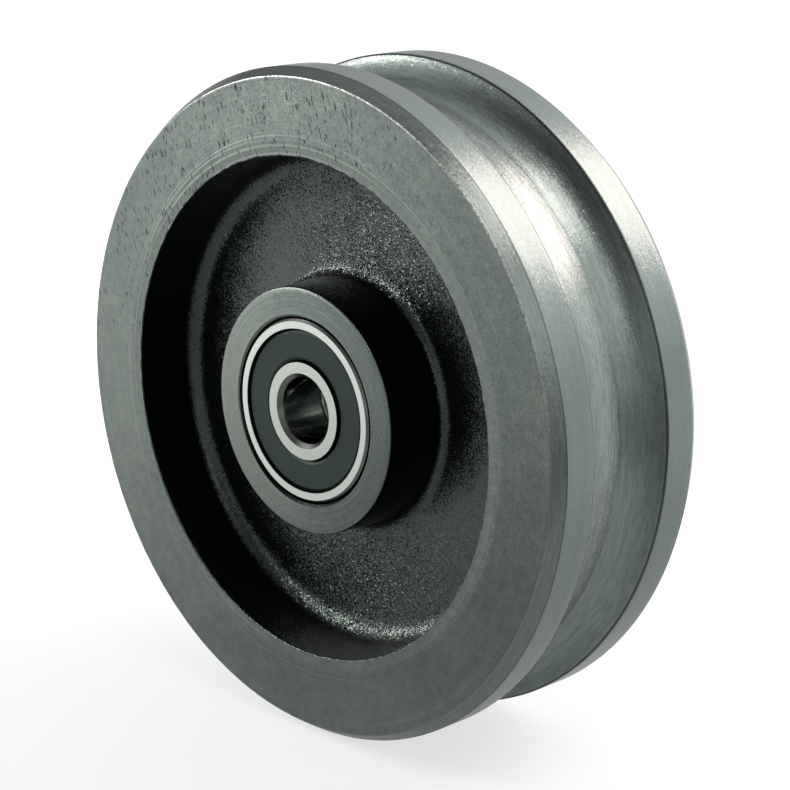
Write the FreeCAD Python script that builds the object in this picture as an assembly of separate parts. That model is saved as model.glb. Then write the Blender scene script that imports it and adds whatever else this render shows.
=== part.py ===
import FreeCAD, Part
import math
import os

from FreeCAD import Vector

# A grooved cast-iron wheel that runs on a round pipe, with a sealed ball bearing in each end of its hub.
# Millimetres. The origin is the wheel's centre, the axle lies along Y, +Z is up and the front is at -Y.

# Wheel rim
wheel_diameter = 150.0
wheel_width = 45.0
rim_depth = 19.0
flange_chamfer_width = 2.9
flange_chamfer_height = 1.9
groove_radius = 12.5
groove_depth = 7.8
groove_lip_radius = 0.8

# Web and hub of the casting
web_thickness = 14.0
draft_angle = 3.0
rim_fillet = 4.0
hub_fillet = 2.5
hub_diameter = 55.0
hub_recess = 0.4
seat_shoulder = 2.8
seat_mouth_chamfer = 0.5

# Ball bearing, the common 15 x 42 x 13 size
bearing_bore = 15.0
bearing_outside = 42.0
bearing_width = 13.0
ring_chamfer = 1.0
ring_edge_chamfer = 0.2
ball_diameter = 7.938
ball_count = 7
race_relief = 0.13
race_depth = 1.62
inner_seal_step = 0.72
outer_seal_recess = 1.57

# Riveted cage of pressed sheet
cage_sheet = 0.6
cage_band = 3.3
rivet_diameter = 1.0
rivet_head_diameter = 1.6
rivet_head_height = 0.35

# Rubber seals
seal_thickness = 1.1
seal_bead_width = 0.7
seal_bead_drop = 0.45
seal_lip_width = 0.6
seal_lip_drop = 0.25

# Sleeve between the inner rings
spacer_wall = 2.2
spacer_chamfer = 0.4

# Clearances
seat_clearance = 0.005
ball_clearance = 0.05
pocket_clearance = 0.05
rivet_clearance = 0.02
cage_to_seal_gap = 0.3
lip_clearance = 0.25
spacer_bore_clearance = 0.25

# Values that follow from the sizes above
wheel_radius = wheel_diameter / 2
hub_radius = hub_diameter / 2
ball_radius = ball_diameter / 2
race_radius = ball_radius + race_relief
pitch_radius = (bearing_bore + bearing_outside) / 4
inner_race_floor = pitch_radius - ball_radius - ball_clearance
outer_race_floor = pitch_radius + ball_radius + ball_clearance
inner_shoulder = inner_race_floor + race_depth
outer_shoulder = outer_race_floor - race_depth
inner_seal_land = inner_shoulder - inner_seal_step
outer_seal_wall = outer_shoulder + outer_seal_recess
pocket_radius = ball_radius + pocket_clearance
pocket_outside = pocket_radius + cage_sheet
seal_floor = pocket_outside + cage_to_seal_gap
hub_face = wheel_width / 2 - hub_recess
bearing_centre = hub_face - bearing_width / 2
bearing_inner_face = hub_face - bearing_width
axle = Vector(0, 1, 0)


def flat(radius, along):
    """A point of a half-section: radius from the axle, distance along the axle."""
    return Vector(radius, along, 0)


def short_arc(centre, start, end):
    """The shorter arc from start to end about a centre."""
    middle = (start - centre) + (end - centre)
    middle.normalize()
    return Part.Arc(start, centre + middle * (start - centre).Length, end).toShape()


def rounded_path(corners):
    """Edges through corners given as (radius, along, rounding), each corner rounded by a tangent arc."""
    points = [flat(corner[0], corner[1]) for corner in corners]
    edges = []
    here = points[0]
    for index in range(1, len(corners) - 1):
        corner = points[index]
        rounding = corners[index][2]
        if rounding == 0:
            edges.append(Part.LineSegment(here, corner).toShape())
            here = corner
            continue
        back = (points[index - 1] - corner).normalize()
        ahead = (points[index + 1] - corner).normalize()
        half_angle = back.getAngle(ahead) / 2
        start = corner + back * (rounding / math.tan(half_angle))
        end = corner + ahead * (rounding / math.tan(half_angle))
        centre = corner + (back + ahead).normalize() * (rounding / math.sin(half_angle))
        edges.append(Part.LineSegment(here, start).toShape())
        edges.append(short_arc(centre, start, end))
        here = end
    edges.append(Part.LineSegment(here, points[-1]).toShape())
    return edges


def mirrored(corners):
    """The same corners on the other side of the wheel's middle plane, in the opposite order."""
    return [(radius, -along, rounding) for radius, along, rounding in reversed(corners)]


def turned(edges):
    """A solid turned about the axle from the edges of its half-section."""
    section = Part.Face(Part.Wire(Part.__sortEdges__(edges)))
    return section.revolve(Vector(0, 0, 0), axle, 360)


def turned_outline(corners):
    """A solid turned about the axle from a closed outline of corners."""
    return turned(rounded_path(corners + corners[:1]))


def groove_edges():
    """The round groove of the tread with its two rounded lips, from the rear land to the front land."""
    floor_centre = wheel_radius - groove_depth + groove_radius
    lip_centre = wheel_radius - groove_lip_radius
    reach = groove_radius + groove_lip_radius
    lip_along = math.sqrt(reach ** 2 - (floor_centre - lip_centre) ** 2)
    groove_middle = flat(floor_centre, 0)
    rear_lip = flat(lip_centre, lip_along)
    front_lip = flat(lip_centre, -lip_along)
    rear_end = groove_middle + (rear_lip - groove_middle) * (groove_radius / reach)
    front_end = groove_middle + (front_lip - groove_middle) * (groove_radius / reach)
    rear_land = flat(wheel_radius, lip_along)
    front_land = flat(wheel_radius, -lip_along)
    floor = flat(wheel_radius - groove_depth, 0)
    edges = [
        short_arc(rear_lip, rear_land, rear_end),
        Part.Arc(rear_end, floor, front_end).toShape(),
        short_arc(front_lip, front_end, front_land),
    ]
    return edges, lip_along


def wheel_casting():
    """Rim, web and hub cast in one piece, with the groove, side faces and bearing seats turned after casting."""
    groove, lip_along = groove_edges()
    side = wheel_width / 2
    web_side = web_thickness / 2
    dish_radius = wheel_radius - rim_depth
    slope = math.tan(math.radians(draft_angle))
    rim_foot = dish_radius - (side - web_side) * slope
    hub_foot = hub_radius + (hub_face - web_side) * slope
    seat_radius = bearing_outside / 2 + seat_clearance
    rear_half = [
        (wheel_radius, lip_along, 0),
        (wheel_radius, side - flange_chamfer_width, 0),
        (wheel_radius - flange_chamfer_height, side, 0),
        (dish_radius, side, 0),
        (rim_foot, web_side, rim_fillet),
        (hub_foot, web_side, hub_fillet),
        (hub_radius, hub_face, 0),
        (seat_radius + seat_mouth_chamfer, hub_face, 0),
        (seat_radius, hub_face - seat_mouth_chamfer, 0),
        (seat_radius, bearing_inner_face, 0),
        (seat_radius - seat_shoulder, bearing_inner_face, 0),
    ]
    return turned(rounded_path(rear_half + mirrored(rear_half)) + groove)


def ball_groove(floor, shoulder):
    """The arc of a ring's ball groove from shoulder to shoulder, deepest at the floor, and half its width."""
    half_width = math.sqrt(race_radius ** 2 - (race_radius - race_depth) ** 2)
    groove = Part.Arc(flat(shoulder, half_width), flat(floor, 0), flat(shoulder, -half_width)).toShape()
    return groove, half_width


def inner_ring():
    """Inner ring of the bearing: bore, chamfered corners, a step for each seal lip and the ball groove."""
    side = bearing_width / 2
    race, half_width = ball_groove(inner_race_floor, inner_shoulder)
    rear_half = [
        (inner_shoulder, half_width, 0),
        (inner_shoulder, seal_floor, 0),
        (inner_seal_land, seal_floor, 0),
        (inner_seal_land, side - ring_edge_chamfer, 0),
        (inner_seal_land - ring_edge_chamfer, side, 0),
        (bearing_bore / 2 + ring_chamfer, side, 0),
        (bearing_bore / 2, side - ring_chamfer, 0),
    ]
    return turned(rounded_path(rear_half + mirrored(rear_half)) + [race])


def outer_ring():
    """Outer ring of the bearing: chamfered outside, a recess that seats each seal and the ball groove."""
    side = bearing_width / 2
    outside = bearing_outside / 2
    race, half_width = ball_groove(outer_race_floor, outer_shoulder)
    rear_half = [
        (outer_shoulder, half_width, 0),
        (outer_shoulder, seal_floor, 0),
        (outer_seal_wall, seal_floor, 0),
        (outer_seal_wall, side - ring_edge_chamfer, 0),
        (outer_seal_wall + ring_edge_chamfer, side, 0),
        (outside - ring_chamfer, side, 0),
        (outside, side - ring_chamfer, 0),
    ]
    return turned(rounded_path(rear_half + mirrored(rear_half)) + [race])


def seal():
    """Moulded rubber seal on the +Y side: a bead in the outer ring's recess, a flat disc and a thin lip."""
    bead = outer_seal_wall - seat_clearance
    lip = inner_seal_land + lip_clearance
    top = seal_floor + seal_thickness
    return turned_outline([
        (lip, seal_floor + seal_lip_drop, 0),
        (lip + seal_lip_width, seal_floor, 0),
        (bead, seal_floor, 0),
        (bead, top - seal_bead_drop, 0),
        (bead - seal_bead_width, top, 0),
        (lip + seal_lip_width, top, 0),
        (lip, top - seal_lip_drop, 0),
    ])


def around(shape, count, step):
    """Copies of a shape spaced round the axle, counted from the top, the first at step places of the pitch."""
    copies = []
    for index in range(count):
        copy = shape.copy()
        copy.rotate(Vector(0, 0, 0), axle, (index + step) * 360.0 / count)
        copies.append(copy)
    return copies


def cage_half():
    """The +Y half of the pressed cage: flat lands between round pockets, drilled for the rivets."""
    band_inside = pitch_radius - cage_band / 2
    band_outside = pitch_radius + cage_band / 2
    far_side = 2 * pocket_outside
    top = Vector(0, 0, pitch_radius)
    band = turned_outline([
        (band_inside, 0, 0),
        (band_outside, 0, 0),
        (band_outside, far_side, 0),
        (band_inside, far_side, 0),
    ])
    lands = turned_outline([
        (band_inside, 0, 0),
        (band_outside, 0, 0),
        (band_outside, cage_sheet, 0),
        (band_inside, cage_sheet, 0),
    ])
    bulge = Part.makeSphere(pocket_outside, top, axle).common(band)
    pocket = Part.makeSphere(pocket_radius, top, axle)
    hole = Part.makeCylinder(rivet_diameter / 2 + rivet_clearance, far_side, top, axle)
    sheet = lands.multiFuse(around(bulge, ball_count, 0)).removeSplitter()
    return sheet.cut(around(pocket, ball_count, 0) + around(hole, ball_count, 0.5))


def rivets():
    """The rivets that hold the two cage halves together, one on each land, with a bevelled head at both ends."""
    head = rivet_head_diameter / 2
    shank = rivet_diameter / 2
    height = cage_sheet + rivet_head_height
    half = [
        (0, height, 0),
        (head - rivet_head_height / 2, height, 0),
        (head, height - rivet_head_height / 2, 0),
        (head, cage_sheet, 0),
        (shank, cage_sheet, 0),
    ]
    rivet = turned_outline(half + mirrored(half))
    rivet.translate(Vector(0, 0, pitch_radius))
    return Part.makeCompound(around(rivet, ball_count, 0.5))


def spacer():
    """Plain steel sleeve on the axle that keeps the two inner rings apart."""
    inside = bearing_bore / 2 + spacer_bore_clearance
    outside = inside + spacer_wall
    rear_half = [
        (inside, bearing_inner_face - spacer_chamfer, 0),
        (inside + spacer_chamfer, bearing_inner_face, 0),
        (outside - spacer_chamfer, bearing_inner_face, 0),
        (outside, bearing_inner_face - spacer_chamfer, 0),
    ]
    return turned_outline(rear_half + mirrored(rear_half))


def bearing(place, outward):
    """One bearing in its seat, as named pieces. Outward is +1 at the rear of the wheel and -1 at the front."""
    ball = Part.makeSphere(ball_radius, Vector(0, 0, pitch_radius), axle)
    pieces = {
        "outer_ring": outer_ring(),
        "inner_ring": inner_ring(),
        "outside_seal": seal(),
        "inside_seal": seal(),
        "outside_cage_half": cage_half(),
        "inside_cage_half": cage_half(),
        "cage_rivets": rivets(),
    }
    for number, copy in enumerate(around(ball, ball_count, 0), start=1):
        pieces["ball_%d" % number] = copy
    placed = {}
    for name, shape in pieces.items():
        faces_back = name.startswith("inside") == (outward > 0)
        if faces_back and name.startswith(("inside", "outside")):
            shape = shape.mirror(Vector(0, 0, 0), axle)
        shape.translate(axle * (outward * bearing_centre))
        placed[place + "_" + name] = shape
    return placed


def wheel():
    """Every piece of the wheel by name."""
    pieces = {"wheel_casting": wheel_casting(), "bearing_spacer": spacer()}
    pieces.update(bearing("front", -1))
    pieces.update(bearing("rear", 1))
    return pieces


os.makedirs("parts", exist_ok=True)
for node, shape in wheel().items():
    shape.exportStep("parts/%s.step" % node)
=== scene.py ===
"""A grooved pipe-track wheel: an iron casting turned on its tread and faces, with a sealed ball bearing at
each end of its hub. The wheel's axle lies along Y and its front face looks along -Y."""
import bpy
import math
import numpy as np
from mathutils import Matrix, Vector, noise


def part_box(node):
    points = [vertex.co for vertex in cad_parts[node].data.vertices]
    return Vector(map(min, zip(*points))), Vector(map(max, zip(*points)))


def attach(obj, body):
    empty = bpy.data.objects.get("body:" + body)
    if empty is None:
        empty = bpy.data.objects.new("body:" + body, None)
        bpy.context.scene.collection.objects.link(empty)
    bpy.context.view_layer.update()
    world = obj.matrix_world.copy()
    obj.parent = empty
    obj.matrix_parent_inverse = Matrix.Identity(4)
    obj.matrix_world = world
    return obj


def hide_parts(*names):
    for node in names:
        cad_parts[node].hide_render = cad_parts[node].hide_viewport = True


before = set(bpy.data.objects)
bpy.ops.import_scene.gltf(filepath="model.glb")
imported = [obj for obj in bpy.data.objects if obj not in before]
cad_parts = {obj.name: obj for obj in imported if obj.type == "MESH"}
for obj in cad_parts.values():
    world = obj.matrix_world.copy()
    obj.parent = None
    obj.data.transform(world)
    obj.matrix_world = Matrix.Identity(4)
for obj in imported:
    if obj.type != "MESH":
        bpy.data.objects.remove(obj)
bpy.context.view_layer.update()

# The wheel casting
# One grey iron sand casting. The tread, the chamfers and the faces of rim and hub are turned bright, and the
# dished web keeps its sand-cast skin under black paint. The bearings are pressed into the seats in the hub.
# Sizes are in millimetres: radii from the axle, and places along it from the middle of the wheel.
MM = 0.001
wheel_radius = round(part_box("wheel_casting")[1][0] / MM, 3)
half_width = round(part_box("wheel_casting")[1][1] / MM, 3)
hub_face = round(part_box("rear_outer_ring")[1][1] / MM, 3)
seat_floor = round(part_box("rear_outer_ring")[0][1] / MM, 3)
face_edge_radius = 73.1
face_break = 0.3
land_edge = 19.6
land_break = 0.15
groove_radius = 12.5
groove_centre = 79.7
groove_edge = 11.382
groove_floor = 67.7
floor_half = 1.75
shelf_edge = 4.3
shelf_rise = 0.16
flank_start = 4.55
flank_steps = 14
lip_radius = 0.8
lip_centre = 12.11
lip_steps = 5
skim_ring = 57.7
skim_step = 0.05
skim_slope = 0.15
dish_mouth = 56.0
mouth_break = 0.3
dish_foot = 55.188
web_half = 7.0
rim_fillet = 4.0
hub_fillet = 2.5
hub_radius = 27.5
hub_foot = 28.291
hub_break = 0.25
seat_radius = 21.005
seat_chamfer = 0.5
shoulder_bore = 18.205
bore_break = 0.2

# The cast skin's unevenness and the burrs: how high each stands and how long its waves are, and the bands of
# the section where the dish's edge wavers and the burr on the flange stands.
grain_height = 0.03
grain_length = 2.4
swell_height = 0.10
swell_length = 7.0
mouth_waver = 0.16
mouth_length = 1.8
mouth_band = 0.4
mouth_start = 20.0
burr_height = 0.08
burr_length = 2.0
burr_share = 0.3
burr_width = 0.7
burr_band = 0.2
burr_start = 22.3


def corner_arc(before, corner, after, rounding, steps):
    """Points of the arc that rounds a corner between two straight runs."""
    corner = np.array(corner, float)
    back = np.array(before, float) - corner
    on = np.array(after, float) - corner
    back /= np.linalg.norm(back)
    on /= np.linalg.norm(on)
    half = math.acos(np.clip(back @ on, -1, 1)) / 2
    middle = back + on
    centre = corner + middle / np.linalg.norm(middle) * rounding / math.sin(half)
    first = corner + back * rounding / math.tan(half) - centre
    last = corner + on * rounding / math.tan(half) - centre
    sweep = math.acos(np.clip(first @ last / rounding ** 2, -1, 1))
    points = []
    for step in range(steps + 1):
        share = step / steps
        arm = (math.sin((1 - share) * sweep) * first + math.sin(share * sweep) * last) / math.sin(sweep)
        points.append(tuple(centre + arm))
    return points


TREAD, FACE, CAST = 0, 1, 2


def casting_half():
    """Half section from the middle of the groove to the middle of the bore: (radius, along, skin) for each
    point, where the skin belongs to the strip that follows the point."""
    start_angle = math.asin(flank_start / groove_radius)
    end_angle = math.asin(groove_edge / groove_radius)
    section = [
        (groove_floor, 0.0, TREAD),
        (groove_floor, floor_half, TREAD),
        (groove_floor + shelf_rise, shelf_edge, TREAD),
    ]
    for step in range(flank_steps + 1):
        angle = start_angle + (end_angle - start_angle) * step / flank_steps
        radius = groove_centre - groove_radius * math.cos(angle)
        section.append((radius, groove_radius * math.sin(angle), TREAD))
    lip_middle = wheel_radius - lip_radius
    for step in range(1, lip_steps + 1):
        turn = end_angle * (1 - step / lip_steps)
        radius = lip_middle + lip_radius * math.cos(turn)
        section.append((radius, lip_centre - lip_radius * math.sin(turn), TREAD))
    # Radius and place of each corner, its rounding and the steps in that, then the skin of the run that
    # follows and the spacing of that run's points. The first row stands where the lip ends.
    corners = [
        (wheel_radius, lip_centre, 0, 1, TREAD, 1.6),
        (wheel_radius, land_edge, land_break, 2, TREAD, 1.0),
        (face_edge_radius, half_width, face_break, 4, FACE, 0.4),
        (face_edge_radius - burr_width, half_width, 0, 1, FACE, 2.5),
        (skim_ring + skim_slope, half_width, 0, 1, FACE, 1.0),
        (skim_ring, half_width - skim_step, 0, 1, FACE, 1.0),
        (dish_mouth, half_width - skim_step, mouth_break, 3, CAST, 1.2),
        (dish_foot, web_half, rim_fillet, 7, CAST, 1.0),
        (hub_foot, web_half, hub_fillet, 6, CAST, 1.2),
        (hub_radius, hub_face, hub_break, 3, FACE, 1.5),
        (seat_radius + seat_chamfer, hub_face, 0, 1, FACE, 1.0),
        (seat_radius, hub_face - seat_chamfer, 0, 1, FACE, 5.0),
        (seat_radius, seat_floor, 0, 1, FACE, 2.0),
        (shoulder_bore, seat_floor, bore_break, 2, FACE, 6.0),
        (shoulder_bore, 0.0, 0, 1, FACE, 1.0),
    ]
    for index in range(1, len(corners)):
        radius, along, rounding, steps, skin = corners[index][:5]
        if rounding:
            points = corner_arc(section[-1][:2], (radius, along), corners[index + 1][:2], rounding, steps)
        else:
            points = [(radius, along)]
        start = section[-1]
        run_skin, run_spacing = corners[index - 1][4:]
        pieces = max(1, round(math.dist(start[:2], points[0]) / run_spacing))
        section[-1] = (start[0], start[1], run_skin)
        for piece in range(1, pieces):
            share = piece / pieces
            section.append((start[0] + (points[0][0] - start[0]) * share,
                            start[1] + (points[0][1] - start[1]) * share, run_skin))
        for point in points:
            section.append((point[0], point[1], skin))
    return section


def wandering(points, size, seed):
    """Smooth noise from -1 to 1 at each point, with waves about size millimetres long."""
    shift = Vector((seed * 17.3, seed * 5.1, seed * 9.7))
    return np.array([noise.noise(Vector(point) / size + shift) for point in points])


def casting_mesh(segments=420):
    """The whole section swept round the axle, uneven where the skin is as cast."""
    half = casting_half()
    front = [(radius, -along, skin) for radius, along, skin in half]
    rear = []
    for index in range(len(half) - 1, 0, -1):
        radius, along = half[index][:2]
        rear.append((radius, along, half[index - 1][2]))
    loop = front[:-1] + rear
    radius = np.array([point[0] for point in loop])
    along = np.array([point[1] for point in loop])
    skin = np.array([point[2] for point in loop])
    count = len(loop)
    ahead = np.c_[np.roll(radius, -1) - np.roll(radius, 1), np.roll(along, -1) - np.roll(along, 1)]
    ahead /= np.linalg.norm(ahead, axis=1)[:, None]
    out_radius, out_along = -ahead[:, 1], ahead[:, 0]
    angle = np.arange(segments) * 2 * math.pi / segments
    cosine, sine = np.cos(angle), np.sin(angle)
    rings = np.zeros((count, segments, 3))
    cast = (skin == CAST) & (np.roll(skin, 1) == CAST)
    mouth = (np.abs(radius - dish_mouth) < mouth_band) & (np.abs(along) > mouth_start)
    burr = (np.abs(radius - face_edge_radius) < burr_band) & (np.abs(along) > burr_start)
    for ring in range(count):
        flat = np.c_[radius[ring] * cosine, np.full(segments, along[ring]), radius[ring] * sine]
        push = np.zeros(segments)
        spread = np.zeros(segments)
        if mouth[ring]:
            spread = mouth_waver * wandering(flat, mouth_length, 3)
        elif cast[ring]:
            push = grain_height * wandering(flat, grain_length, 1)
            push += swell_height * wandering(flat, swell_length, 2)
        lift = push * out_along[ring]
        if burr[ring]:
            lift = burr_height * out_along[ring] * np.clip(wandering(flat, burr_length, 4) + burr_share, 0, 1)
        reach = radius[ring] + push * out_radius[ring] + spread
        rings[ring, :, 0] = reach * cosine
        rings[ring, :, 1] = along[ring] + lift
        rings[ring, :, 2] = reach * sine
    index = np.arange(count * segments).reshape(count, segments)
    next_ring = np.roll(index, -1, 0)
    quads = np.stack([index, next_ring, np.roll(next_ring, -1, 1), np.roll(index, -1, 1)], -1)
    mesh = bpy.data.meshes.new("wheel_casting_skin")
    mesh.from_pydata((rings * MM).reshape(-1, 3).tolist(), [], quads.reshape(-1, 4).tolist())
    mesh.polygons.foreach_set("material_index", np.repeat(skin, segments))
    mesh.polygons.foreach_set("use_smooth", np.ones(count * segments, bool))
    mesh.set_sharp_from_angle(angle=math.radians(32))
    return mesh


def linear(code):
    """sRGB hex colour as the linear colour that Blender's sockets take."""
    parts = [int(code[start:start + 2], 16) / 255 for start in (1, 3, 5)]
    straight = [part / 12.92 if part <= 0.04045 else ((part + 0.055) / 1.055) ** 2.4 for part in parts]
    return (*straight, 1.0)


def add(tree, kind, inputs=None, **settings):
    """Add a shader node with its settings; each input takes a value or another node's socket."""
    made = tree.nodes.new("ShaderNode" + kind)
    for name, value in settings.items():
        setattr(made, name, value)
    for name, value in (inputs or {}).items():
        if isinstance(value, bpy.types.NodeSocket):
            tree.links.new(value, made.inputs[name])
        else:
            made.inputs[name].default_value = value
    return made


def start_material(name):
    """A new material, its node tree and its shader."""
    made = bpy.data.materials.new(name)
    made.use_nodes = True
    tree = made.node_tree
    return made, tree, tree.nodes["Principled BSDF"]


def place_in_mm(tree):
    """The shaded point in millimetres."""
    place = add(tree, "TexCoord").outputs["Object"]
    return add(tree, "VectorMath", {0: place, "Scale": 1 / MM}, operation="SCALE").outputs[0]


def off_axle(tree, place):
    """How far the shaded point is from the axle."""
    flat = add(tree, "VectorMath", {0: place, 1: (1, 0, 1)}, operation="MULTIPLY").outputs[0]
    return add(tree, "VectorMath", {0: flat}, operation="LENGTH").outputs["Value"]


def spoke_through(tree, place):
    """The unit spoke from the axle through the shaded point."""
    flat = add(tree, "VectorMath", {0: place, 1: (1, 0, 1)}, operation="MULTIPLY").outputs[0]
    return add(tree, "VectorMath", {0: flat}, operation="NORMALIZE").outputs[0]


def tool_marks(tree, across, spoke, pitch, length, detail):
    """Noise drawn out round the axle: marks about pitch millimetres apart across the cut and length radians
    long."""
    count = add(tree, "Math", {0: across, 1: 1 / pitch}, operation="MULTIPLY").outputs[0]
    step = add(tree, "CombineXYZ", {"Y": count}).outputs[0]
    drawn = add(tree, "VectorMath", {0: spoke, 1: (1 / length,) * 3, 2: step},
                operation="MULTIPLY_ADD").outputs[0]
    return add(tree, "TexNoise", {"Vector": drawn, "Scale": 1.0, "Detail": detail}).outputs[0]


def facets(tree, place, size, spread, normal):
    """The normal broken up into flat grains about size millimetres across, few of which lean as far as
    spread."""
    grain = add(tree, "TexVoronoi", {"Vector": place, "Scale": 1 / size}, feature="F1").outputs["Color"]
    lean = add(tree, "VectorMath", {0: grain, 1: (0.5, 0.5, 0.5)}, operation="SUBTRACT").outputs[0]
    steep = add(tree, "VectorMath", {0: lean}, operation="LENGTH").outputs["Value"]
    steep = add(tree, "Math", {0: steep, 1: spread}, operation="MULTIPLY").outputs[0]
    lean = add(tree, "VectorTransform", {0: lean}, vector_type="VECTOR", convert_from="OBJECT",
               convert_to="WORLD").outputs[0]
    lean = add(tree, "VectorMath", {0: lean, "Scale": steep}, operation="SCALE").outputs[0]
    leaning = add(tree, "VectorMath", {0: normal, 1: lean}, operation="ADD").outputs[0]
    return add(tree, "VectorMath", {0: leaning}, operation="NORMALIZE").outputs[0]


# Turned grey iron: bare metal with a dull grey-green cast from its graphite. The facing tool leaves fine
# rings, whose sloping flanks tip the light outwards, bright arcs, and torn pits where the cut only just
# cleaned up the skin. The hub's face has coarser rings and is painted lighter towards its lower left as
# painted light; the burrs at the edges are painted bright as a painted highlight where they face the lamps,
# and near the dish's mouth the arcs are painted brighter towards the upper left as a painted highlight. The
# iron's grain and the rings are finer in reality, and are drawn as coarse as they need to show.
ring_pitch = 0.35
mottle_size = 2.2
smudge_size = 11.0
hub_ring_pitch = 0.7
arc_pitch = 0.4
tear_length = 2.6
tear_width = 0.5
tear_cluster = 6.0
burr_grain = 0.9
iron_grain = 0.4
hub_middle = 24.7
hub_reach = 2.9
skim_middle = dish_mouth + 2.0
skim_reach = 2.6
mouth_burr_middle = dish_mouth + 0.1
mouth_burr_reach = 0.22
rim_burr_start = face_edge_radius - 0.35
rim_burr_full = face_edge_radius - 0.15
gap_shade_edge = 21.3
gap_shade_full = 21.2
gap_shade_lean = 0.3
turned_face, tree, iron = start_material("turned_grey_iron_face")
place = place_in_mm(tree)
away = off_axle(tree, place)
spoke = spoke_through(tree, place)
fine = tool_marks(tree, away, spoke, ring_pitch, length=1.2, detail=4.0)
mottle = add(tree, "TexNoise", {"Vector": place, "Scale": 1 / mottle_size, "Detail": 5.0}).outputs[0]
smudge = add(tree, "TexNoise", {"Vector": place, "Scale": 1 / smudge_size, "Detail": 2.0}).outputs[0]
tone = add(tree, "Mix", {"Factor": 0.4, "A": mottle, "B": fine}).outputs[0]
tone = add(tree, "Mix", {"Factor": 0.3, "A": tone, "B": smudge}).outputs[0]
tone = add(tree, "MapRange", {"Value": tone, "From Min": 0.36, "From Max": 0.64}).outputs[0]
on_hub = add(tree, "Math", {0: away, 1: hub_middle, 2: hub_reach}, operation="COMPARE").outputs[0]
# Painted light: the hub's face is made lighter towards its lower left, where the light falls, on top of its
# coarser rings.
painted_light_side = (-0.85, 0, -0.27)
hub_rings_and_painted_light = add(tree, "VectorMath", {0: spoke, 1: painted_light_side}, operation="DOT_PRODUCT").outputs["Value"]
cut = tool_marks(tree, away, spoke, hub_ring_pitch, length=1.0, detail=2.0)
cut = add(tree, "Math", {0: cut, 1: 0.5}, operation="SUBTRACT").outputs[0]
cut_contrast = 2.6
hub_rings_and_painted_light = add(tree, "Math", {0: cut, 1: cut_contrast, 2: hub_rings_and_painted_light}, operation="MULTIPLY_ADD").outputs[0]
tone = add(tree, "Math", {0: on_hub, 1: hub_rings_and_painted_light, 2: tone}, operation="MULTIPLY_ADD").outputs[0]
colour = add(tree, "Mix", {"Factor": tone, "A": linear("#666f6b"), "B": linear("#777f7a")},
             data_type="RGBA").outputs["Result"]
upper_left = (-0.45, 0, 0.89)
sector = add(tree, "VectorMath", {0: spoke, 1: upper_left}, operation="DOT_PRODUCT").outputs["Value"]
sector = add(tree, "MapRange", {"Value": sector, "From Min": 0.2, "From Max": 0.8}).outputs[0]
arcs = tool_marks(tree, away, spoke, arc_pitch, length=1.6, detail=2.0)
arcs = add(tree, "MapRange", {"Value": arcs, "From Min": 0.58, "From Max": 0.68}).outputs[0]
near_mouth = add(tree, "Math", {0: away, 1: skim_middle, 2: skim_reach}, operation="COMPARE").outputs[0]
# Painted highlight: near the dish's mouth the tool arcs are drawn brighter towards the upper left, where they
# catch the light.
mouth_arc_highlight = add(tree, "MapRange", {"Value": sector, "To Min": 0.3, "To Max": 0.8}).outputs[0]
hub_arcs = 0.3
other_arcs = 0.12
arc_share = add(tree, "Math", {0: on_hub, 1: hub_arcs, 2: other_arcs}, operation="MULTIPLY_ADD").outputs[0]
arc_share = add(tree, "Math", {0: near_mouth, 1: mouth_arc_highlight, 2: arc_share}, operation="MULTIPLY_ADD").outputs[0]
arcs = add(tree, "Math", {0: arcs, 1: arc_share}, operation="MULTIPLY").outputs[0]
colour = add(tree, "Mix", {"Factor": arcs, "A": colour, "B": linear("#9aa29d")},
             data_type="RGBA").outputs["Result"]
drag = add(tree, "VectorMath", {0: place, 1: (0.32 / tear_length, 0, -0.95 / tear_length)},
           operation="DOT_PRODUCT").outputs["Value"]
across = add(tree, "VectorMath", {0: place, 1: (0.95 / tear_width, 0, 0.32 / tear_width)},
             operation="DOT_PRODUCT").outputs["Value"]
torn = add(tree, "CombineXYZ", {"X": drag, "Y": across}).outputs[0]
torn = add(tree, "TexNoise", {"Vector": torn, "Scale": 1.0, "Detail": 2.0}, noise_dimensions="2D").outputs[0]
cluster = add(tree, "TexNoise", {"Vector": place, "Scale": 1 / tear_cluster, "Detail": 1.0}).outputs[0]
cluster = add(tree, "Math", {0: cluster, 1: sector}, operation="MULTIPLY").outputs[0]
on_rim = add(tree, "Math", {0: away, 1: dish_mouth}, operation="GREATER_THAN").outputs[0]
cluster = add(tree, "Math", {0: cluster, 1: on_rim}, operation="MULTIPLY").outputs[0]
cluster_pull = 0.3
torn = add(tree, "Math", {0: cluster, 1: cluster_pull, 2: torn}, operation="MULTIPLY_ADD").outputs[0]
pits = add(tree, "MapRange", {"Value": torn, "From Min": 0.80, "From Max": 0.87}).outputs[0]
colour = add(tree, "Mix", {"Factor": pits, "A": colour, "B": linear("#2a2f2c")},
             data_type="RGBA").outputs["Result"]
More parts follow.
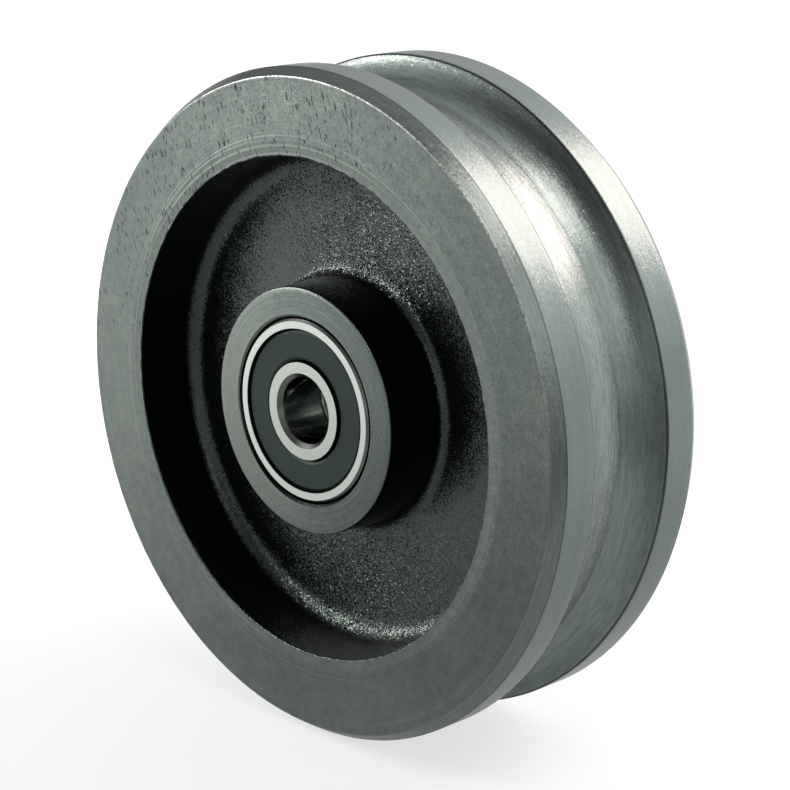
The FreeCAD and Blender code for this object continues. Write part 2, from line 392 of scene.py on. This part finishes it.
# Painted highlight: the burr at the rim's edge is painted bright towards the upper right, and the burr at the
# dish's mouth towards the upper left, where they catch the lamps.
rim_burr_highlight = add(tree, "MapRange", {"Value": away, "From Min": rim_burr_start,
                                  "From Max": rim_burr_full}).outputs[0]
upper_right = (0.42, 0, 0.91)
burr_lit_side = add(tree, "VectorMath", {0: spoke, 1: upper_right}, operation="DOT_PRODUCT").outputs["Value"]
burr_lit_side = add(tree, "MapRange", {"Value": burr_lit_side, "From Min": 0.45, "From Max": 0.95, "To Min": 0.15,
                                "To Max": 1.0}).outputs[0]
rim_burr_highlight = add(tree, "Math", {0: rim_burr_highlight, 1: burr_lit_side}, operation="MULTIPLY").outputs[0]
mouth_burr_highlight = add(tree, "Math", {0: away, 1: mouth_burr_middle, 2: mouth_burr_reach},
                 operation="COMPARE").outputs[0]
mouth_burr_highlight = add(tree, "Math", {0: mouth_burr_highlight, 1: sector}, operation="MULTIPLY").outputs[0]
burr = add(tree, "Math", {0: mouth_burr_highlight, 1: rim_burr_highlight}, operation="ADD").outputs[0]
broken = add(tree, "TexNoise", {"Vector": place, "Scale": 1 / burr_grain, "Detail": 3.0}).outputs[0]
broken = add(tree, "MapRange", {"Value": broken, "From Min": 0.3, "From Max": 0.62}).outputs[0]
burr = add(tree, "Math", {0: burr, 1: broken}, operation="MULTIPLY").outputs[0]
# The burrs' painted highlight colour.
colour = add(tree, "Mix", {"Factor": burr, "A": colour, "B": linear("#ccd1cd")},
             data_type="RGBA").outputs["Result"]
# Painted shade: a dark line in the gap between the hub's seat and the bearing ring, wider towards the bottom.
painted_gap_shade = add(tree, "SeparateXYZ", {0: spoke}).outputs["Z"]
painted_gap_shade = add(tree, "Math", {0: painted_gap_shade, 1: gap_shade_lean, 2: away}, operation="MULTIPLY_ADD").outputs[0]
painted_gap_shade = add(tree, "MapRange", {"Value": painted_gap_shade, "From Min": gap_shade_edge, "From Max": gap_shade_full}).outputs[0]
colour = add(tree, "Mix", {"Factor": painted_gap_shade, "A": colour, "B": linear("#202422")},
             data_type="RGBA").outputs["Result"]
tree.links.new(colour, iron.inputs["Base Color"])
iron.inputs["Metallic"].default_value = 1.0
dull = add(tree, "MapRange", {"Value": mottle, "To Min": 0.22, "To Max": 0.33}).outputs[0]
tree.links.new(dull, iron.inputs["Roughness"])
outward = add(tree, "VectorTransform", {0: spoke}, vector_type="VECTOR", convert_from="OBJECT",
              convert_to="WORLD").outputs[0]
flat = add(tree, "NewGeometry").outputs["Normal"]
flank_slope = 0.075
flank = add(tree, "VectorMath", {0: outward, 1: (flank_slope,) * 3, 2: flat},
            operation="MULTIPLY_ADD").outputs[0]
flank = facets(tree, place, iron_grain, spread=0.15, normal=flank)
pit_depth = -2.5
relief = add(tree, "Math", {0: pits, 1: pit_depth, 2: fine}, operation="MULTIPLY_ADD").outputs[0]
height = add(tree, "Bump", {"Height": relief, "Strength": 1.0, "Distance": 0.008 * MM, "Normal": flank})
tree.links.new(height.outputs[0], iron.inputs["Normal"])

# The tread and its groove are turned along the axle. The lands are finished fine; the form tool that cut
# the groove chattered and left broken streaks right round the wheel. The pipe has run a band of it bright.
# Shade is painted dark into the corner under each land and along the outer edge of each land. The streaks
# and the grain are drawn as coarse as they need to show.
streak_pitch = 0.4
line_pitch = 0.9
speckle_size = 0.45
tread_grain = 0.35
lip_start = 10.8
lip_end = 12.0
worn_edge = 5.0
worn_full = 1.4
bevel_start = land_edge - 0.05
bevel_full = land_edge + 0.15
arris_reach = 0.12
corner_middle = 11.6
corner_reach = 0.2
turned_tread, tree, iron = start_material("turned_grey_iron_tread")
place = place_in_mm(tree)
spoke = spoke_through(tree, place)
along = add(tree, "SeparateXYZ", {0: place}).outputs["Y"]
streak = tool_marks(tree, along, spoke, streak_pitch, length=0.06, detail=3.0)
lines = tool_marks(tree, along, spoke, line_pitch, length=2.0, detail=3.0)
speckle = add(tree, "TexNoise", {"Vector": place, "Scale": 1 / speckle_size, "Detail": 2.0}).outputs[0]
speckle = add(tree, "Mix", {"Factor": 0.35, "A": 0.5, "B": speckle}).outputs[0]
side = add(tree, "Math", {0: along}, operation="ABSOLUTE").outputs[0]
on_land = add(tree, "MapRange", {"Value": side, "From Min": lip_start, "From Max": lip_end}).outputs[0]
marks = add(tree, "Mix", {"Factor": on_land, "A": streak, "B": speckle}).outputs[0]
share = add(tree, "MapRange", {"Value": on_land, "To Min": 0.6, "To Max": 0.85}).outputs[0]
tone = add(tree, "Mix", {"Factor": share, "A": lines, "B": marks}).outputs[0]
tone = add(tree, "MapRange", {"Value": tone, "From Min": 0.35, "From Max": 0.65}).outputs[0]
colour = add(tree, "Mix", {"Factor": tone, "A": linear("#687370"), "B": linear("#7e8985")},
             data_type="RGBA").outputs["Result"]
worn = add(tree, "MapRange", {"Value": side, "From Min": worn_edge, "From Max": worn_full,
                              "To Max": 0.8}).outputs[0]
worn = add(tree, "Math", {0: worn, 1: streak}, operation="MULTIPLY").outputs[0]
colour = add(tree, "Mix", {"Factor": worn, "A": colour, "B": linear("#a3aaa5")},
             data_type="RGBA").outputs["Result"]
bevel = add(tree, "MapRange", {"Value": side, "From Min": bevel_start, "From Max": bevel_full}).outputs[0]
scored = add(tree, "Mix", {"Factor": streak, "A": linear("#59625f"), "B": linear("#808985")},
             data_type="RGBA").outputs["Result"]
colour = add(tree, "Mix", {"Factor": bevel, "A": colour, "B": scored}, data_type="RGBA").outputs["Result"]
# Painted shade: dark lines in the corner under each land and along the land's edge at its chamfer.
corner = add(tree, "Math", {0: side, 1: corner_middle, 2: corner_reach}, operation="COMPARE").outputs[0]
arris = add(tree, "Math", {0: side, 1: bevel_full, 2: arris_reach}, operation="COMPARE").outputs[0]
arris_shade = 0.6
corner = add(tree, "Math", {0: arris, 1: arris_shade, 2: corner}, operation="MULTIPLY_ADD").outputs[0]
colour = add(tree, "Mix", {"Factor": corner, "A": colour, "B": linear("#474d4a")},
             data_type="RGBA").outputs["Result"]
tree.links.new(colour, iron.inputs["Base Color"])
iron.inputs["Metallic"].default_value = 1.0
iron.inputs["Roughness"].default_value = 0.28
flat = add(tree, "NewGeometry").outputs["Normal"]
grains = facets(tree, place, tread_grain, spread=0.13, normal=flat)
height = add(tree, "Bump", {"Height": marks, "Strength": 1.0, "Distance": 0.03 * MM, "Normal": grains})
tree.links.new(height.outputs[0], iron.inputs["Normal"])

# Black paint over the sand-cast skin: thin enough to keep every grain of the mould's sand as a facet of its
# own, which glints where it faces a light. The skin is coarser round the hub, where the iron ran hottest, and
# in patches, quieter towards two sides, and smoother and duller on the steep walls, along which the pattern
# was drawn out of the sand.
patch_size = 9.0
sand_grain = 0.3
lump_size = 0.42
hot_edge = 52.0
hot_full = 34.0
fillet_start = 50.5
fillet_full = 52.5
painted_cast, tree, paint = start_material("black_paint_on_sand_casting")
place = place_in_mm(tree)
away = off_axle(tree, place)
spoke = spoke_through(tree, place)
patchy = add(tree, "TexNoise", {"Vector": place, "Scale": 1 / patch_size, "Detail": 2.0}).outputs[0]
patchy = add(tree, "MapRange", {"Value": patchy, "From Min": 0.3, "From Max": 0.7, "To Min": 0.6,
                                "To Max": 1.0}).outputs[0]
quiet = add(tree, "SeparateXYZ", {0: spoke}).outputs["X"]
quiet_shift = 0.12
quiet = add(tree, "Math", {0: quiet, 1: quiet_shift}, operation="SUBTRACT").outputs[0]
quiet = add(tree, "Math", {0: quiet}, operation="ABSOLUTE").outputs[0]
quiet = add(tree, "MapRange", {"Value": quiet, "From Min": 0.1, "From Max": 0.75, "To Min": 1.15,
                               "To Max": 0.32}).outputs[0]
patchy = add(tree, "Math", {0: patchy, 1: quiet}, operation="MULTIPLY").outputs[0]
hot = add(tree, "MapRange", {"Value": away, "From Min": hot_edge, "From Max": hot_full, "To Min": 0.75,
                             "To Max": 1.0}).outputs[0]
coarse = add(tree, "Math", {0: patchy, 1: hot}, operation="MULTIPLY").outputs[0]
corner = add(tree, "MapRange", {"Value": away, "From Min": fillet_start, "From Max": fillet_full,
                                "To Max": 0.12}).outputs[0]
coarse = add(tree, "Math", {0: coarse, 1: corner}, operation="ADD").outputs[0]
flat = add(tree, "NewGeometry").outputs["Normal"]
level_skin = add(tree, "SeparateXYZ", {0: flat}).outputs["Y"]
level_skin = add(tree, "Math", {0: level_skin}, operation="ABSOLUTE").outputs[0]
shine = add(tree, "MapRange", {"Value": level_skin, "From Min": 0.25, "From Max": 0.7, "To Min": 0.08,
                               "To Max": 0.5}).outputs[0]
tree.links.new(shine, paint.inputs["Specular IOR Level"])
level_skin = add(tree, "MapRange", {"Value": level_skin, "From Min": 0.1, "From Max": 0.5, "To Min": 0.35,
                                    "To Max": 1.0}).outputs[0]
coarse = add(tree, "Math", {0: coarse, 1: level_skin}, operation="MULTIPLY").outputs[0]
grain_lean = 1.5
spread = add(tree, "Math", {0: coarse, 1: grain_lean}, operation="MULTIPLY").outputs[0]
facet = facets(tree, place, sand_grain, spread, flat)
lumps = add(tree, "TexNoise", {"Vector": place, "Scale": 1 / lump_size, "Detail": 1.5}).outputs[0]
lumps = add(tree, "Math", {0: lumps, 1: coarse}, operation="MULTIPLY").outputs[0]
paint.inputs["Base Color"].default_value = linear("#040505")
paint.inputs["Roughness"].default_value = 0.23
paint.inputs["IOR"].default_value = 1.8
paint.inputs["Specular Tint"].default_value = linear("#e6fff6")
height = add(tree, "Bump", {"Height": lumps, "Strength": 1.0, "Distance": 0.2 * MM, "Normal": facet})
tree.links.new(height.outputs[0], paint.inputs["Normal"])

casting = bpy.data.objects.new("wheel_casting_skin", casting_mesh())
bpy.context.scene.collection.objects.link(casting)
for skin in (turned_tread, turned_face, painted_cast):
    casting.data.materials.append(skin)
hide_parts("wheel_casting")
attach(casting, "wheel")

# The bearing rings
# Hardened bearing steel, ground to size. The outer rings are pressed into the hub and turn with the wheel,
# and the inner rings stand still on the axle.
inner_ring_edge = 11.2
outer_ring_edge = 18.2
lip_gap_middle = 14.6
lip_gap_reach = 3.75
end_face = 21.9
lip_depth = 20.0
bore_edge = 7.6
seat_edge = 20.5
bearing_ends = ("front", "rear")


def dress(name, finish):
    """Give a CAD node its finish."""
    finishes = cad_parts[name].data.materials
    finishes.clear()
    finishes.append(finish)


# Ground steel: bright, with fine lines round it that are drawn coarser than real so that they show, and
# grey chamfers. The inner ring is greyer than the outer. Black is painted as shade, with no shine, into the
# gaps at the seals' lips and round the ring in the seat, and the bore is painted darker as shade but for one
# stripe, left bright as a painted highlight.
grinding_pitch = 0.15
ground_steel, tree, steel = start_material("ground_bearing_steel")
place = place_in_mm(tree)
away = off_axle(tree, place)
spoke = spoke_through(tree, place)
fine = tool_marks(tree, away, spoke, grinding_pitch, length=0.5, detail=3.0)
colour = add(tree, "Mix", {"Factor": fine, "A": linear("#c0c7c1"), "B": linear("#d3dad4")},
             data_type="RGBA").outputs["Result"]
dulled = add(tree, "MapRange", {"Value": away, "From Min": inner_ring_edge, "From Max": outer_ring_edge,
                                "To Min": 0.5, "To Max": 0.0}).outputs[0]
colour = add(tree, "Mix", {"Factor": dulled, "A": colour, "B": linear("#a8afa9")},
             data_type="RGBA").outputs["Result"]
facing = add(tree, "NewGeometry").outputs["True Normal"]
facing = add(tree, "SeparateXYZ", {0: facing}).outputs["Y"]
facing = add(tree, "Math", {0: facing}, operation="ABSOLUTE").outputs[0]
end_lean = 0.9
hidden_side = add(tree, "Math", {0: facing, 1: end_lean}, operation="LESS_THAN").outputs[0]
# Painted shade: black with no shine in the gaps by the seals' lips and round the ring in the seat.
in_gap = add(tree, "Math", {0: away, 1: lip_gap_middle, 2: lip_gap_reach}, operation="COMPARE").outputs[0]
side = add(tree, "SeparateXYZ", {0: place}).outputs["Y"]
side = add(tree, "Math", {0: side}, operation="ABSOLUTE").outputs[0]
sunk = add(tree, "Math", {0: side, 1: end_face}, operation="LESS_THAN").outputs[0]
sunk = add(tree, "Math", {0: sunk, 1: hidden_side}, operation="MAXIMUM").outputs[0]
painted_shade = add(tree, "Math", {0: sunk, 1: in_gap}, operation="MULTIPLY").outputs[0]
by_lip = add(tree, "Math", {0: side, 1: lip_depth}, operation="GREATER_THAN").outputs[0]
painted_shade = add(tree, "Math", {0: painted_shade, 1: by_lip}, operation="MULTIPLY").outputs[0]
# Painted shade darkens the bore, all but one stripe that is left bright as a painted highlight.
in_bore = add(tree, "Math", {0: away, 1: bore_edge}, operation="LESS_THAN").outputs[0]
bore_highlight_side = (-0.966, 0, -0.26)
bore_shade = add(tree, "VectorMath", {0: spoke, 1: bore_highlight_side}, operation="DOT_PRODUCT").outputs["Value"]
bore_shade = add(tree, "MapRange", {"Value": bore_shade, "From Min": 0.93, "From Max": 0.99, "To Min": 0.45,
                              "To Max": 0.0}).outputs[0]
bore_shade = add(tree, "Math", {0: in_bore, 1: bore_shade}, operation="MULTIPLY").outputs[0]
chamfer_lean = 0.62
chamfer_range = 0.3
chamfer = add(tree, "Math", {0: facing, 1: chamfer_lean, 2: chamfer_range}, operation="COMPARE").outputs[0]
colour = add(tree, "Mix", {"Factor": chamfer, "A": colour, "B": linear("#767977")},
             data_type="RGBA").outputs["Result"]
in_seat = add(tree, "Math", {0: away, 1: seat_edge}, operation="GREATER_THAN").outputs[0]
painted_shade = add(tree, "Math", {0: painted_shade, 1: in_seat}, operation="MAXIMUM").outputs[0]
unshaded = add(tree, "Math", {0: 1.0, 1: painted_shade}, operation="SUBTRACT").outputs[0]
tree.links.new(unshaded, steel.inputs["Metallic"])
shine = add(tree, "Math", {0: unshaded, 1: 0.5}, operation="MULTIPLY").outputs[0]
tree.links.new(shine, steel.inputs["Specular IOR Level"])
painted_shade = add(tree, "Math", {0: painted_shade, 1: bore_shade}, operation="MAXIMUM").outputs[0]
# The black of the painted shade.
colour = add(tree, "Mix", {"Factor": painted_shade, "A": colour, "B": linear("#0b0c0c")},
             data_type="RGBA").outputs["Result"]
tree.links.new(colour, steel.inputs["Base Color"])
dull = add(tree, "MapRange", {"Value": in_bore, "To Min": 0.26, "To Max": 0.12}).outputs[0]
tree.links.new(dull, steel.inputs["Roughness"])
height = add(tree, "Bump", {"Height": fine, "Strength": 1.0, "Distance": 0.002 * MM})
tree.links.new(height.outputs[0], steel.inputs["Normal"])
for end in bearing_ends:
    for ring in ("_outer_ring", "_inner_ring"):
        dress(end + ring, ground_steel)

# The balls and cages
# Seven hard steel balls run in each bearing, held apart by a cage of two halves that are pressed from sheet
# steel and riveted together. The seals hide them.
ball_count = 7

# Lapped steel: mirror bright, faintly clouded by the lubricant.
cloud_size = 1.5
lapped_steel, tree, steel = start_material("lapped_bearing_steel")
place = place_in_mm(tree)
cloud = add(tree, "TexNoise", {"Vector": place, "Scale": 1 / cloud_size, "Detail": 3.0}).outputs[0]
colour = add(tree, "Mix", {"Factor": cloud, "A": linear("#c9cccb"), "B": linear("#d6d9d8")},
             data_type="RGBA").outputs["Result"]
tree.links.new(colour, steel.inputs["Base Color"])
steel.inputs["Metallic"].default_value = 1.0
dull = add(tree, "MapRange", {"Value": cloud, "To Min": 0.06, "To Max": 0.14}).outputs[0]
tree.links.new(dull, steel.inputs["Roughness"])

# Pressed sheet: greyer and half dull, with the uneven sheen that the press leaves.
sheen_size = 0.8
pressed_steel, tree, steel = start_material("pressed_sheet_steel")
place = place_in_mm(tree)
cloud = add(tree, "TexNoise", {"Vector": place, "Scale": 1 / sheen_size, "Detail": 4.0}).outputs[0]
colour = add(tree, "Mix", {"Factor": cloud, "A": linear("#8d8d89"), "B": linear("#a9a9a5")},
             data_type="RGBA").outputs["Result"]
tree.links.new(colour, steel.inputs["Base Color"])
steel.inputs["Metallic"].default_value = 1.0
dull = add(tree, "MapRange", {"Value": cloud, "To Min": 0.3, "To Max": 0.45}).outputs[0]
tree.links.new(dull, steel.inputs["Roughness"])
for end in bearing_ends:
    for number in range(1, ball_count + 1):
        dress("%s_ball_%d" % (end, number), lapped_steel)
    for part in ("_outside_cage_half", "_inside_cage_half", "_cage_rivets"):
        dress(end + part, pressed_steel)

# The seals
# Nitrile rubber moulded on a steel disc and snapped into the outer ring; their lips run on the inner ring.
# Moulded rubber is satin black with a faint green sheen and a fine mottle, drawn coarser than real to show.
rubber_mottle = 0.6
seal_rubber, tree, rubber = start_material("moulded_nitrile_rubber")
place = place_in_mm(tree)
mottle = add(tree, "TexNoise", {"Vector": place, "Scale": 1 / rubber_mottle, "Detail": 3.0}).outputs[0]
colour = add(tree, "Mix", {"Factor": mottle, "A": linear("#08110f"), "B": linear("#0f1b18")},
             data_type="RGBA").outputs["Result"]
tree.links.new(colour, rubber.inputs["Base Color"])
rubber.inputs["Roughness"].default_value = 0.55
rubber.inputs["Specular Tint"].default_value = linear("#d8fff3")
height = add(tree, "Bump", {"Height": mottle, "Strength": 1.0, "Distance": 0.02 * MM})
tree.links.new(height.outputs[0], rubber.inputs["Normal"])
for end in bearing_ends:
    for seal in ("_outside_seal", "_inside_seal"):
        dress(end + seal, seal_rubber)

# The spacer
# A plain length of turned steel tube between the two inner rings, so that the axle's nut clamps them.
# Turned mild steel shows the lathe's fine feed lines round it, with a bright grey sheen.
feed_pitch = 0.25
turned_steel, tree, steel = start_material("turned_mild_steel")
place = place_in_mm(tree)
spoke = spoke_through(tree, place)
along = add(tree, "SeparateXYZ", {0: place}).outputs["Y"]
fine = tool_marks(tree, along, spoke, feed_pitch, length=0.8, detail=3.0)
colour = add(tree, "Mix", {"Factor": fine, "A": linear("#6c716f"), "B": linear("#868b89")},
             data_type="RGBA").outputs["Result"]
tree.links.new(colour, steel.inputs["Base Color"])
steel.inputs["Metallic"].default_value = 1.0
steel.inputs["Roughness"].default_value = 0.14
height = add(tree, "Bump", {"Height": fine, "Strength": 1.0, "Distance": 0.006 * MM})
tree.links.new(height.outputs[0], steel.inputs["Normal"])
dress("bearing_spacer", turned_steel)

# The stage
# A pale floor that runs out of sight in a plain studio, with softboxes above, on the left and on the right.
# The camera sees floor and room almost white. The iron's reflections see them graded: painted shade darkens
# the floor near the wheel and in front of it, a painted pool of bounce light lifts it to the right of the
# wheel, and the room is brightest behind and above it.
level = -wheel_radius * MM
reach = 6.0
shade_middle = (0.06, -0.14, level)
bounce_middle = (0.13, -0.03, level)
front_right = (0.71, -0.71, 0)
floor_mesh = bpy.data.meshes.new("studio_floor")
floor_mesh.from_pydata([(-reach, -reach, level), (reach, -reach, level), (reach, reach, level),
                        (-reach, reach, level)], [], [(0, 1, 2, 3)])
floor = bpy.data.objects.new("studio_floor", floor_mesh)
bpy.context.scene.collection.objects.link(floor)
white_floor, tree, paper = start_material("white_studio_floor")
paper.inputs["Roughness"].default_value = 0.7
paper.inputs["Emission Color"].default_value = (1, 1, 1, 1)
path = add(tree, "LightPath").outputs
# Painted shade: in reflections the floor's colour is a darker grey.
colour = add(tree, "Mix", {"Factor": path["Is Glossy Ray"], "A": linear("#8a9290"), "B": linear("#5c6360")},
             data_type="RGBA").outputs["Result"]
tree.links.new(colour, paper.inputs["Base Color"])
where = add(tree, "TexCoord").outputs["Object"]
apart = add(tree, "VectorMath", {0: where, 1: shade_middle}, operation="DISTANCE").outputs["Value"]
open_floor = add(tree, "MapRange", {"Value": apart, "From Min": 0.1, "From Max": 0.5, "To Min": 0.66,
                                    "To Max": 0.98}).outputs[0]
shaded = add(tree, "MapRange", {"Value": apart, "From Min": 0.05, "From Max": 0.34, "To Min": 0.2,
                                "To Max": 0.80}).outputs[0]
bounce = add(tree, "VectorMath", {0: where, 1: bounce_middle}, operation="DISTANCE").outputs["Value"]
bounce = add(tree, "MapRange", {"Value": bounce, "From Min": 0.06, "From Max": 0.15, "To Min": 0.14,
                                "To Max": 0.0}).outputs[0]
far_off = add(tree, "MapRange", {"Value": apart, "From Min": 0.5, "From Max": 1.2, "To Min": 0.0,
                                 "To Max": 0.2}).outputs[0]
unlit = add(tree, "VectorMath", {0: where, 1: front_right}, operation="DOT_PRODUCT").outputs["Value"]
unlit = add(tree, "MapRange", {"Value": unlit, "From Min": 0.12, "From Max": 0.32, "To Min": 1.0,
                               "To Max": 0.2}).outputs[0]
far_off = add(tree, "Math", {0: far_off, 1: bounce}, operation="ADD").outputs[0]
shaded = add(tree, "Math", {0: shaded, 1: unlit, 2: far_off}, operation="MULTIPLY_ADD").outputs[0]
seen = add(tree, "Math", {0: path["Is Camera Ray"], 1: path["Is Transmission Ray"]},
           operation="ADD").outputs[0]
seen = add(tree, "Math", {0: seen, 1: open_floor}, operation="MULTIPLY").outputs[0]
glow = add(tree, "Math", {0: path["Is Glossy Ray"], 1: shaded, 2: seen}, operation="MULTIPLY_ADD").outputs[0]
tree.links.new(glow, paper.inputs["Emission Strength"])
floor.data.materials.append(white_floor)

# The room: a plain white surround. In reflections it has a dark patch above the front, a pale skirt just over
# the floor and a glow round the left softbox.
bright_side = (0.55, 0.685, 0.478)
dark_patch = (-0.10, -0.65, 0.75)
left_lamp = (-0.78, -0.52, 0.36)
plain_light = 0.4
world = bpy.data.worlds.new("studio")
bpy.context.scene.world = world
world.use_nodes = True
tree = world.node_tree
background = tree.nodes["Background"]
path = add(tree, "LightPath").outputs
toward = add(tree, "TexCoord").outputs["Generated"]
grade = add(tree, "VectorMath", {0: toward, 1: bright_side}, operation="DOT_PRODUCT").outputs["Value"]
grade = add(tree, "MapRange", {"Value": grade, "From Min": -0.12, "From Max": 0.9, "To Min": 0.25,
                               "To Max": 1.53}).outputs[0]
unlit = add(tree, "VectorMath", {0: toward, 1: dark_patch}, operation="DOT_PRODUCT").outputs["Value"]
unlit = add(tree, "MapRange", {"Value": unlit, "From Min": 0.79, "From Max": 0.95, "To Min": 1.0,
                               "To Max": 0.45}).outputs[0]
height = add(tree, "SeparateXYZ", {0: toward}).outputs["Z"]
low_down = add(tree, "MapRange", {"Value": height, "From Min": 0.0, "From Max": 0.35, "To Min": 0.65,
                                  "To Max": 1.0}).outputs[0]
grade = add(tree, "Math", {0: grade, 1: low_down}, operation="MULTIPLY").outputs[0]
skirt = add(tree, "MapRange", {"Value": height, "From Min": 0.0, "From Max": 0.36, "To Min": 0.8,
                               "To Max": 0.2}).outputs[0]
grade = add(tree, "Math", {0: grade, 1: skirt}, operation="MAXIMUM").outputs[0]
spill = add(tree, "VectorMath", {0: toward, 1: left_lamp}, operation="DOT_PRODUCT").outputs["Value"]
spill = add(tree, "MapRange", {"Value": spill, "From Min": 0.75, "From Max": 0.95, "To Max": 0.9}).outputs[0]
grade = add(tree, "Math", {0: grade, 1: spill}, operation="ADD").outputs[0]
grade = add(tree, "Math", {0: grade, 1: unlit}, operation="MULTIPLY").outputs[0]
strength = add(tree, "Mix", {"Factor": path["Is Glossy Ray"], "A": plain_light, "B": grade}).outputs[0]
seen = add(tree, "Math", {0: path["Is Camera Ray"], 1: path["Is Transmission Ray"]},
           operation="ADD").outputs[0]
strength = add(tree, "Mix", {"Factor": seen, "A": strength, "B": 1.0}).outputs[0]
background.inputs["Color"].default_value = (1, 1, 1, 1)
tree.links.new(strength, background.inputs["Strength"])


def softbox(name, toward, distance, width, length, radiance, colour):
    """A softbox that faces the wheel, with its length front to back and its brightness as radiance."""
    lamp = bpy.data.lights.new(name, "AREA")
    lamp.shape = "RECTANGLE"
    lamp.size = width
    lamp.size_y = length
    lamp.energy = radiance * math.pi * width * length
    lamp.color = linear(colour)[:3]
    toward = Vector(toward).normalized()
    across = Vector((0, 1, 0)).cross(toward).normalized()
    holder = bpy.data.objects.new(name, lamp)
    holder.matrix_world = Matrix((across, toward.cross(across), toward)).transposed().to_4x4()
    holder.location = toward * distance
    bpy.context.scene.collection.objects.link(holder)


softbox("overhead_softbox", (0.335, 0.54, 0.77), distance=0.9, width=0.5, length=1.3, radiance=4.2,
        colour="#ffe4e0")
softbox("front_overhead_softbox", (0.44, -0.22, 0.87), distance=0.9, width=0.36, length=0.45, radiance=3.2,
        colour="#fff1ee")
softbox("left_softbox", left_lamp, distance=1.2, width=0.45, length=0.45, radiance=12.0, colour="#fff7f3")
softbox("right_softbox", (0.80, -0.42, 0.45), distance=1.2, width=0.5, length=0.5, radiance=0.8,
        colour="#ffffff")

# The camera stands at the photograph's viewing angle, to the right of the front face and a little above it.
view_back = Vector((0.6887, -0.676, 0.2639))
camera = bpy.data.objects.new("camera", bpy.data.cameras.new("camera"))
camera.data.lens = 104.8
camera.data.sensor_width = 36.0
camera.location = (0.3599, -0.3470, 0.1362)
camera.rotation_euler = view_back.to_track_quat("Z", "Y").to_euler()
bpy.context.scene.collection.objects.link(camera)
bpy.context.scene.camera = camera
bpy.context.scene.view_settings.view_transform = "Standard"
